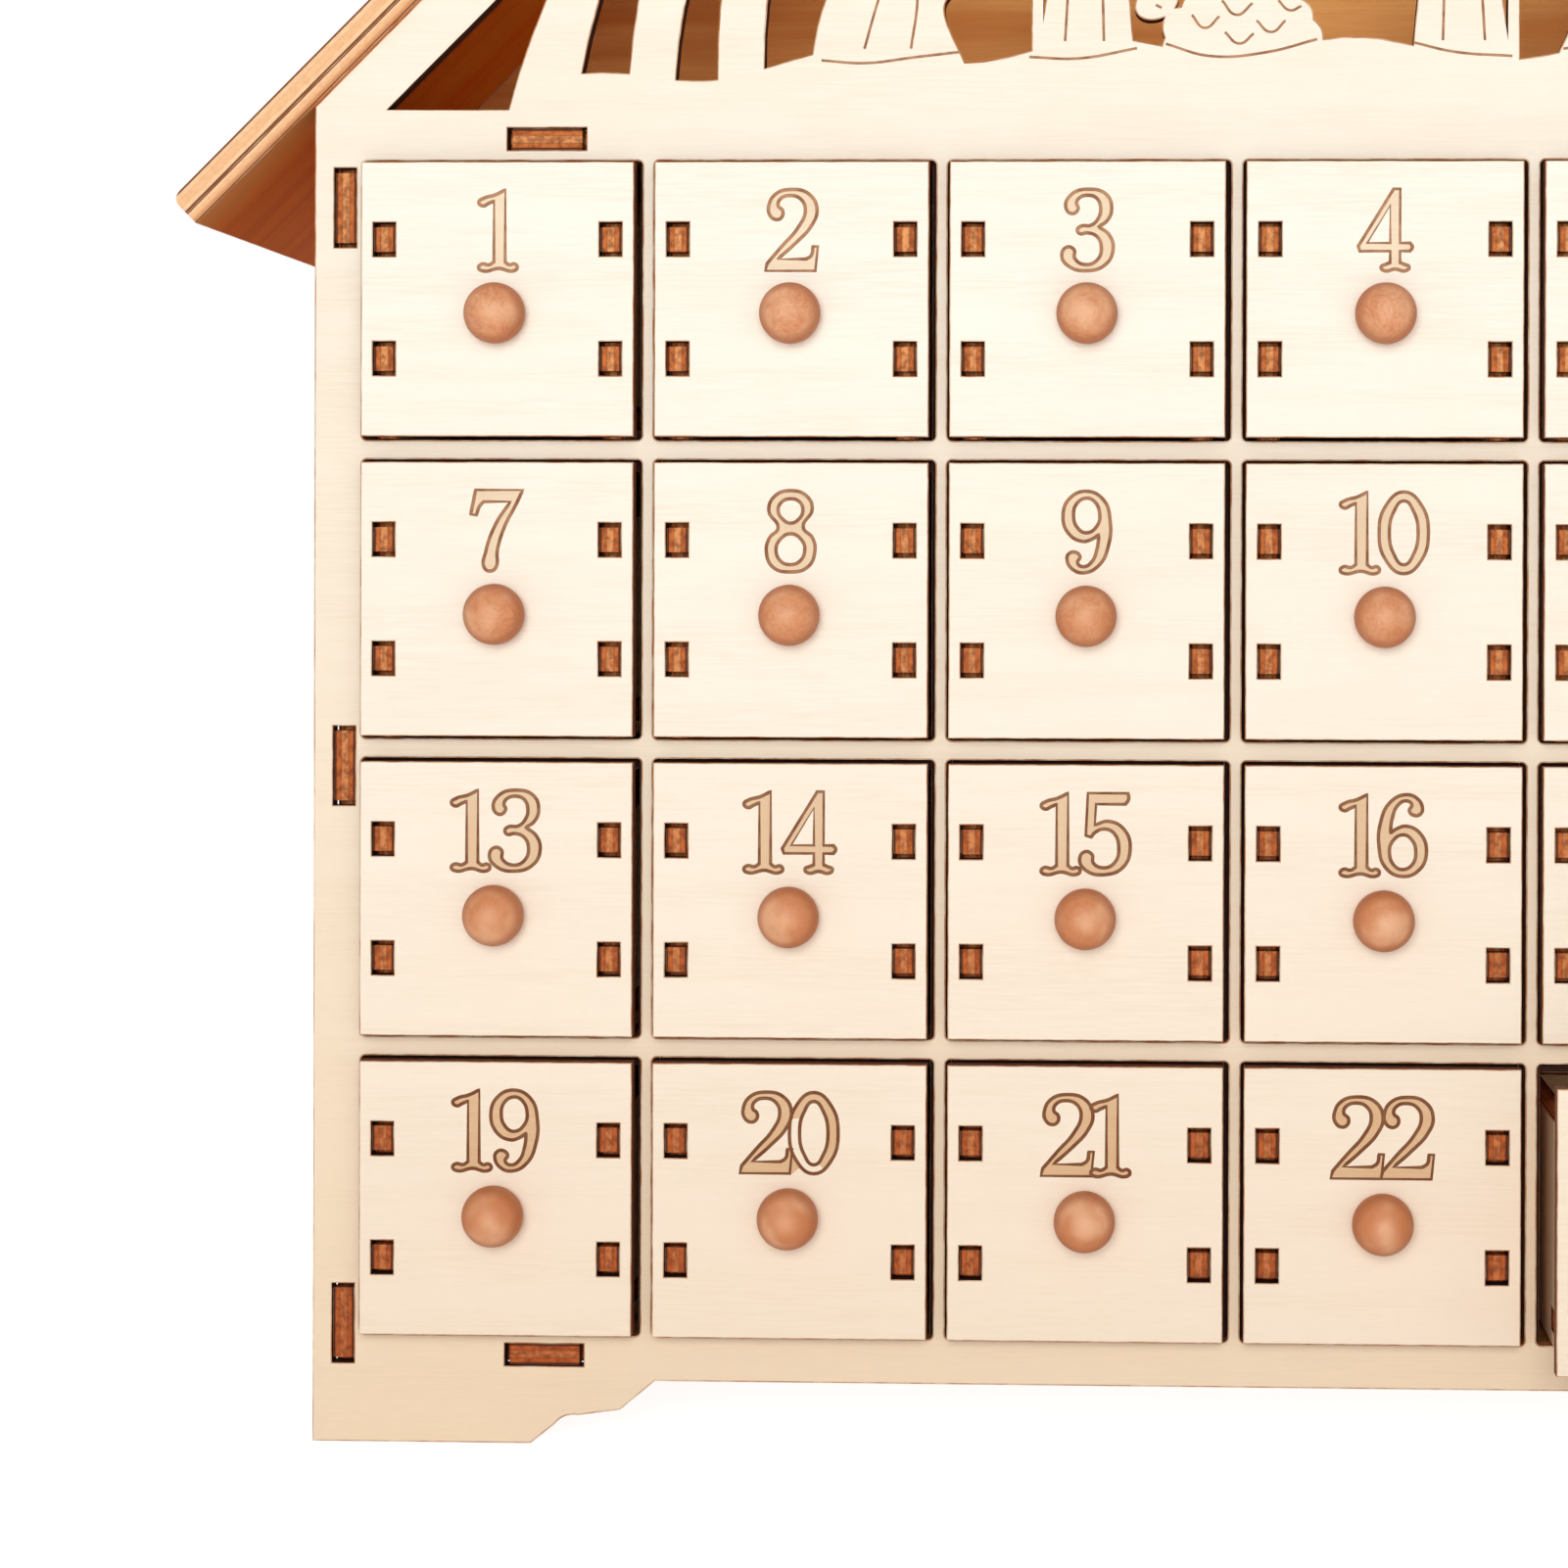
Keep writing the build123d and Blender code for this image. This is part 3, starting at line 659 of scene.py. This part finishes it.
numeralOutlines = {
    "0": (0.60, [[(0.30, 1.0, "s"), (0.52, 0.83, "s"), (0.60, 0.5, "s"), (0.52, 0.17, "s"),
                  (0.30, 0.0, "s"), (0.08, 0.17, "s"), (0.0, 0.5, "s"), (0.08, 0.83, "s")],
                 [(0.30, 0.89, "s"), (0.42, 0.76, "s"), (0.475, 0.5, "s"), (0.42, 0.24, "s"),
                  (0.30, 0.11, "s"), (0.18, 0.24, "s"), (0.125, 0.5, "s"), (0.18, 0.76, "s")]]),
    "1": (0.46, [[(0.33, 1.0, "c"), (0.20, 0.935, "s"), (0.06, 0.895, "s"), (0.0, 0.845, "s"), (0.05, 0.80, "s"),
                  (0.12, 0.83, "s"), (0.19, 0.86, "c"), (0.19, 0.11, "c"), (0.13, 0.075, "s"), (0.04, 0.085, "s"),
                  (0.0, 0.04, "s"), (0.05, 0.0, "s"), (0.25, 0.03, "s"), (0.43, 0.0, "s"), (0.48, 0.04, "s"),
                  (0.45, 0.085, "s"), (0.38, 0.075, "s"), (0.33, 0.11, "c")]]),
    "2": (0.64, [[(0.0, 0.0, "c"), (0.02, 0.09, "c"), (0.20, 0.30, "s"), (0.40, 0.53, "s"), (0.49, 0.74, "s"),
                  (0.44, 0.875, "s"), (0.31, 0.925, "s"), (0.18, 0.88, "s"), (0.155, 0.80, "s"), (0.21, 0.74, "s"),
                  (0.20, 0.66, "s"), (0.13, 0.63, "s"), (0.05, 0.69, "s"), (0.04, 0.80, "s"), (0.12, 0.94, "s"),
                  (0.31, 1.0, "s"), (0.54, 0.94, "s"), (0.635, 0.75, "s"), (0.57, 0.56, "s"), (0.37, 0.34, "s"),
                  (0.15, 0.145, "c"), (0.50, 0.145, "c"), (0.565, 0.19, "s"), (0.585, 0.30, "c"),
                  (0.645, 0.30, "c"), (0.615, 0.0, "c")]]),
    "3": (0.63, [[(0.05, 0.77, "s"), (0.11, 0.93, "s"), (0.33, 1.0, "s"), (0.55, 0.93, "s"), (0.61, 0.76, "s"),
                  (0.56, 0.62, "s"), (0.45, 0.54, "c"), (0.58, 0.44, "s"), (0.63, 0.27, "s"), (0.54, 0.08, "s"),
                  (0.30, 0.0, "s"), (0.08, 0.06, "s"), (0.0, 0.19, "s"), (0.06, 0.29, "s"), (0.15, 0.26, "s"),
                  (0.16, 0.15, "s"), (0.30, 0.075, "s"), (0.44, 0.14, "s"), (0.485, 0.28, "s"), (0.43, 0.42, "s"),
                  (0.31, 0.465, "s"), (0.22, 0.455, "s"), (0.19, 0.50, "s"), (0.23, 0.545, "s"), (0.36, 0.56, "s"),
                  (0.45, 0.65, "s"), (0.475, 0.77, "s"), (0.43, 0.885, "s"), (0.33, 0.925, "s"), (0.21, 0.89, "s"),
                  (0.18, 0.83, "s"), (0.20, 0.76, "s"), (0.13, 0.70, "s")]]),
    "4": (0.66, [[(0.51, 1.0, "c"), (0.51, 0.34, "c"), (0.63, 0.34, "c"), (0.66, 0.29, "s"), (0.63, 0.24, "c"),
                  (0.51, 0.24, "c"), (0.51, 0.10, "c"), (0.56, 0.08, "s"), (0.62, 0.045, "s"), (0.58, 0.0, "s"),
                  (0.45, 0.02, "s"), (0.32, 0.0, "s"), (0.28, 0.045, "s"), (0.34, 0.08, "s"), (0.39, 0.10, "c"),
                  (0.39, 0.24, "c"), (0.02, 0.24, "c"), (0.0, 0.30, "c"), (0.43, 1.0, "c")],
                 [(0.39, 0.34, "c"), (0.39, 0.80, "c"), (0.11, 0.34, "c")]]),
    "5": (0.62, [[(0.10, 1.0, "c"), (0.59, 1.0, "c"), (0.60, 0.93, "s"), (0.56, 0.865, "c"), (0.20, 0.865, "c"),
                  (0.185, 0.61, "c"), (0.36, 0.655, "s"), (0.55, 0.55, "s"), (0.62, 0.33, "s"), (0.53, 0.09, "s"),
                  (0.30, 0.0, "s"), (0.08, 0.05, "s"), (0.0, 0.18, "s"), (0.06, 0.28, "s"), (0.15, 0.25, "s"),
                  (0.17, 0.14, "s"), (0.30, 0.085, "s"), (0.43, 0.15, "s"), (0.48, 0.33, "s"), (0.42, 0.51, "s"),
                  (0.31, 0.56, "s"), (0.19, 0.52, "s"), (0.14, 0.46, "c"), (0.075, 0.48, "c")]]),
    "6": (0.58, [[(0.53, 0.83, "s"), (0.47, 0.95, "s"), (0.32, 1.0, "s"), (0.13, 0.90, "s"), (0.02, 0.66, "s"),
                  (0.0, 0.38, "s"), (0.08, 0.11, "s"), (0.29, 0.0, "s"), (0.50, 0.09, "s"), (0.58, 0.30, "s"),
                  (0.51, 0.52, "s"), (0.34, 0.615, "s"), (0.23, 0.59, "s"), (0.14, 0.53, "c"), (0.16, 0.70, "s"),
                  (0.23, 0.87, "s"), (0.33, 0.925, "s"), (0.40, 0.88, "s"), (0.37, 0.80, "s"), (0.44, 0.745, "s"),
                  (0.51, 0.77, "s")],
                 [(0.29, 0.51, "s"), (0.16, 0.42, "s"), (0.13, 0.28, "s"), (0.19, 0.13, "s"), (0.29, 0.085, "s"),
                  (0.41, 0.15, "s"), (0.45, 0.30, "s"), (0.40, 0.45, "s")]]),
    "7": (0.64, [[(0.06, 1.0, "c"), (0.645, 1.0, "c"), (0.55, 0.80, "s"), (0.42, 0.55, "s"), (0.33, 0.25, "s"),
                  (0.31, 0.04, "s"), (0.24, 0.0, "s"), (0.17, 0.04, "s"), (0.19, 0.25, "s"), (0.31, 0.58, "s"),
                  (0.49, 0.855, "c"), (0.16, 0.855, "c"), (0.11, 0.80, "s"), (0.07, 0.69, "c"), (0.0, 0.70, "c"),
                  (0.03, 0.85, "s")]]),
    "8": (0.60, [[(0.30, 1.0, "s"), (0.50, 0.93, "s"), (0.565, 0.77, "s"), (0.455, 0.55, "s"), (0.57, 0.42, "s"),
                  (0.60, 0.26, "s"), (0.51, 0.06, "s"), (0.29, 0.0, "s"), (0.08, 0.06, "s"), (0.0, 0.26, "s"),
                  (0.04, 0.42, "s"), (0.145, 0.54, "s"), (0.03, 0.75, "s"), (0.10, 0.93, "s")],
                 [(0.30, 0.90, "s"), (0.41, 0.86, "s"), (0.45, 0.76, "s"), (0.40, 0.65, "s"), (0.30, 0.60, "s"),
                  (0.20, 0.65, "s"), (0.145, 0.76, "s"), (0.19, 0.86, "s")],
                 [(0.30, 0.47, "s"), (0.43, 0.40, "s"), (0.475, 0.27, "s"), (0.41, 0.13, "s"), (0.29, 0.09, "s"),
                  (0.18, 0.13, "s"), (0.12, 0.27, "s"), (0.17, 0.40, "s")]]),
}
nineWidth, sixStrokes = numeralOutlines["6"]     # a nine is a six turned round
numeralOutlines["9"] = (nineWidth, [[(nineWidth - x, 1 - z, kind) for x, z, kind in stroke] for stroke in sixStrokes])

numeralStyle = {"height": 11.3 * mm, "topGap": 3.9 * mm, "space": -0.03, "afterOne": 0.013}


def numeralStrokes(text, centre, top):           # outlines of a whole number, centred under the top of its plate
    size = numeralStyle["height"]
    strokes, reach = [], 0.0
    for place, digit in enumerate(text):
        width, outlines = numeralOutlines[digit]
        if place:
            reach += numeralStyle["afterOne"] if text[place - 1] == "1" else numeralStyle["space"]
        strokes += [[(reach + x, z, kind) for x, z, kind in stroke] for stroke in outlines]
        reach += width
    left = centre - reach * size / 2
    low = top - numeralStyle["topGap"] - size
    return [[(left + x * size, low + z * size, kind) for x, z, kind in stroke] for stroke in strokes]


# Drawers: plate with its engraved number, and the tray behind it

traySlots = {"front": 1, "rear": 1, "rim": 2, "cut": 4}            # a plate has those of any sheet
plateEdgeSlot = 5
plateFinder = {"depth": 0.1 * mm, "edge": 1 * mm}                  # how near the front or the outside counts as there
numeralProbe = {"before": 1 * mm, "reach": 3 * mm}                 # rays that find the faces inside a numeral


def atFront(island, front):
    return min(v.co.y for face in island for v in face.verts) < front + plateFinder["depth"]


def dressedDrawer(node, seed):
    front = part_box(node)[0].y
    bm = mergedCopy(node)
    for place, island in enumerate(islandsOf(bm)):
        isPlate = atFront(island, front)
        dressSheet(bm, island, seed + place, sheetSlots if isPlate else traySlots)
        if isPlate:                              # outer edges of a plate are less burnt than its slots, whose near-black colour is partly painted shade
            low, high = (Vector(pick(v.co[axis] for face in island for v in face.verts) for axis in range(3))
                         for pick in (min, max))
            for face in island:
                middle = face.calc_center_median()
                outer = min(*(middle - low).xz, *(high - middle).xz) < plateFinder["edge"]
                if face.material_index == sheetSlots["cut"] and outer:
                    face.material_index = plateEdgeSlot
    return bm


def splitPlate(bm):                              # the island at the front on its own, and the rest
    plate, rest = bm.copy(), bm
    for part, keepPlate in ((plate, True), (rest, False)):
        front = min(v.co.y for v in part.verts)
        drop = []
        for island in islandsOf(part):
            if atFront(island, front) != keepPlate:
                drop += island
        bmesh.ops.delete(part, geom=drop, context="FACES")
    return plate, rest


def numberedDrawer(number):
    node = f"drawer_{number:02d}"
    low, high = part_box(node)
    materials = [plateWood, trayWood, rimWood, cutWood, tabWood, plateEdgeWood]
    plate, rest = splitPlate(dressedDrawer(node, number * 7))
    middle = (low.x + high.x) / 2
    strokes = numeralStrokes(str(number), middle, high.z)
    cutter = curveMesh(lineCurve("numeralLines", strokes, True, engraving["numeralWidth"]), low.y - engraving["lift"])
    carved = carvePlate(asMesh(plate, "plate", materials), cutter, lineWood)
    inked = curveMesh(lineCurve("numeralFill", strokes, True, 0.0), low.y)
    fill = bmesh.new()
    fill.from_mesh(inked)
    inside = BVHTree.FromBMesh(fill)
    fill.free()
    bm = bmesh.new()
    bm.from_mesh(carved)
    faced = [f for f in bm.faces if f.material_index == 0 and f.normal.y < -sheetFinish["flat"]]
    inwards = Vector((0, 1, 0))
    for face in bmesh.ops.triangulate(bm, faces=faced)["faces"]:
        start = face.calc_center_median() - inwards * numeralProbe["before"]
        if inside.ray_cast(start, inwards, numeralProbe["reach"])[0]:
            face.material_index = len(carved.materials)
    materials = list(carved.materials) + [numeralWood]
    restMesh = asMesh(rest, "tray", [])
    bm.from_mesh(restMesh)
    newPiece(f"drawerBox{number:02d}", bm, materials, node, "plywood", node)


for number in range(1, 25):
    numberedDrawer(number)
print("drawers engraved")


# Knobs: turned half balls on a dowel

knobShape = {"dowel": 3.0 * mm, "steps": 48, "arcSteps": 14, "seatEdge": 0.05 * mm}


def makeKnob(number):
    low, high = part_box(f"knob_{number:02d}")
    middle = (low + high) / 2
    radius = (high.x - low.x) / 2
    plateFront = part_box(f"drawer_{number:02d}")[0].y
    bm = bmesh.new()
    profile = []
    centre = low.y + radius
    sweep = math.acos((centre - plateFront) / radius)
    for step in range(knobShape["arcSteps"] + 1):
        angle = sweep * step / knobShape["arcSteps"]
        out, forward = radius * math.sin(angle), radius * math.cos(angle)
        profile.append(bm.verts.new((middle.x + out, centre - forward, middle.z)))
    dowel = knobShape["dowel"] / 2
    profile.append(bm.verts.new((middle.x + dowel, plateFront, middle.z)))
    profile.append(bm.verts.new((middle.x + dowel, high.y, middle.z)))
    profile.append(bm.verts.new((middle.x, high.y, middle.z)))
    edges = [bm.edges.new(pair) for pair in zip(profile, profile[1:])]
    bmesh.ops.spin(bm, geom=profile + edges, cent=middle, axis=(0, 1, 0), angle=2 * math.pi,
                   steps=knobShape["steps"], use_merge=True)
    bmesh.ops.remove_doubles(bm, verts=bm.verts, dist=sheetFinish["mergeDistance"])
    bmesh.ops.recalc_face_normals(bm, faces=bm.faces)
    uv = bm.loops.layers.uv.new("sheet")
    for face in bm.faces:
        face.smooth = face.calc_center_median().y < plateFront - knobShape["seatEdge"]
        for loop in face.loops:                  # middle of the knob at 0, its widest ring at 1
            loop[uv].uv = ((loop.vert.co - middle) / radius).xz
    newPiece(f"turnedKnob{number:02d}", bm, [knobWood], f"drawer_{number:02d}", "knob_wood", f"knob_{number:02d}")


for number in range(1, 25):
    makeKnob(number)
print("knobs turned")


# Roof: two layers on each slope, with eased eave corners

roofShape = {"ease": 1.5 * mm, "easeSteps": 4, "flatAngle": 0.01, "longEdge": 50 * mm}


def makeRoofBoard(node, piece, seed, eased):
    bm = mergedCopy(node)
    bmesh.ops.dissolve_limit(bm, angle_limit=roofShape["flatAngle"], verts=bm.verts, edges=bm.edges)
    if eased:                                    # long corner at the eave that stands out furthest
        lengthwise = [e for e in bm.edges if abs(e.verts[0].co.y - e.verts[1].co.y) > roofShape["longEdge"]]
        corner = max(lengthwise, key=lambda e: abs(e.verts[0].co.x))
        bmesh.ops.bevel(bm, geom=[corner], offset=roofShape["ease"], offset_type="OFFSET", affect="EDGES",
                        segments=roofShape["easeSteps"], profile=0.5, material=-1)
    for island in islandsOf(bm):
        dressSheet(bm, island, seed, sheetSlots)
    materials = [roofWood, underWood, rimWood, roofEdgeWood if eased else roofInnerEdgeWood]
    newPiece(piece, bm, materials, "house", "roof_plywood", node)


for seed, side in enumerate(("left", "right")):
    makeRoofBoard(f"roof_{side}_inner", f"{side}RoofInner", 90 + seed, False)
    makeRoofBoard(f"roof_{side}_outer", f"{side}RoofOuter", 95 + seed, True)
print("roof laid")


# Floor, light and camera

studio = {"floorSize": 6.0, "floorDrop": 0.2 * mm, "floorTint": (0.8, 0.8, 0.8, 1), "floorGlow": 0.9,
          "worldLight": 0.24, "aim": (-0.02, -0.02, 0.12), "lamps": {
    "keyLight": {"place": (-0.10, -0.95, 0.30), "size": 0.6, "power": 5.05},
    "fillLight": {"place": (0.25, -0.95, 0.16), "size": 1.2, "power": 2.1},
    "roofLight": {"place": (0.0, 0.35, 1.10), "size": 1.0, "power": 5.0},
    "backLight": {"place": (0.30, 1.00, 0.70), "size": 1.2, "power": 5.0}}}


def seenDirectly(tree):                          # 1 for camera, mirror and glass rays
    path = tree.nodes.new("ShaderNodeLightPath")
    return sums(tree, "ADD", sums(tree, "ADD", path.outputs["Is Camera Ray"], path.outputs["Is Glossy Ray"]),
                path.outputs["Is Transmission Ray"])


def makeFloor():
    bm = bmesh.new()
    bmesh.ops.create_grid(bm, x_segments=1, y_segments=1, size=studio["floorSize"] / 2)
    bmesh.ops.translate(bm, verts=bm.verts, vec=(0, 0, -studio["floorDrop"]))
    mesh = asMesh(bm, "paleFloor", [])
    material = bpy.data.materials.new("paleFloor")
    material.use_nodes = True
    tree = material.node_tree
    tree.nodes.clear()
    output = tree.nodes.new("ShaderNodeOutputMaterial")
    matt = tree.nodes.new("ShaderNodeBsdfDiffuse")
    matt.inputs["Color"].default_value = studio["floorTint"]
    glow = tree.nodes.new("ShaderNodeEmission")
    tree.links.new(sums(tree, "MULTIPLY", seenDirectly(tree), studio["floorGlow"]), glow.inputs["Strength"])
    both = tree.nodes.new("ShaderNodeAddShader")
    tree.links.new(matt.outputs["BSDF"], both.inputs[0])
    tree.links.new(glow.outputs["Emission"], both.inputs[1])
    tree.links.new(both.outputs["Shader"], output.inputs["Surface"])
    mesh.materials.append(material)
    floor = bpy.data.objects.new("paleFloor", mesh)
    bpy.context.scene.collection.objects.link(floor)


def makeWorld():
    world = bpy.data.worlds.new("studio")
    bpy.context.scene.world = world
    world.use_nodes = True
    tree = world.node_tree
    back = tree.nodes["Background"]
    back.inputs["Color"].default_value = (1, 1, 1, 1)
    tree.links.new(spread(tree, seenDirectly(tree), 0.0, 1.0, studio["worldLight"], 1.0), back.inputs["Strength"])


def makeLamp(name, place, size, power):
    lamp = bpy.data.lights.new(name, "AREA")
    lamp.shape = "DISK"
    lamp.size = size
    lamp.energy = power
    holder = bpy.data.objects.new(name, lamp)
    holder.location = place
    holder.rotation_euler = (Vector(studio["aim"]) - Vector(place)).to_track_quat("-Z", "Y").to_euler()
    bpy.context.scene.collection.objects.link(holder)


viewPoint = {"distance": 480 * mm, "x": -10.4 * mm, "z": 121.3 * mm, "focal": 79.16, "yaw": 0.035, "pitch": 0.004,
             "roll": 0.003, "shift": (-0.1636, -0.1218), "sensor": 36, "nearest": 10 * mm}


def makeCamera():
    lens = bpy.data.cameras.new("view")
    lens.sensor_width = viewPoint["sensor"]
    lens.lens = viewPoint["focal"]
    lens.shift_x, lens.shift_y = viewPoint["shift"]
    lens.clip_start = viewPoint["nearest"]
    camera = bpy.data.objects.new("view", lens)
    camera.location = (viewPoint["x"], frontBox[0].y - viewPoint["distance"], viewPoint["z"])
    camera.rotation_euler = (math.pi / 2 - viewPoint["pitch"], -viewPoint["roll"], viewPoint["yaw"])
    bpy.context.scene.collection.objects.link(camera)
    bpy.context.scene.camera = camera


makeFloor()
makeWorld()
for name, lamp in studio["lamps"].items():
    makeLamp(name, **lamp)
makeCamera()
bpy.context.scene.view_settings.view_transform = "Standard"
print("studio set")
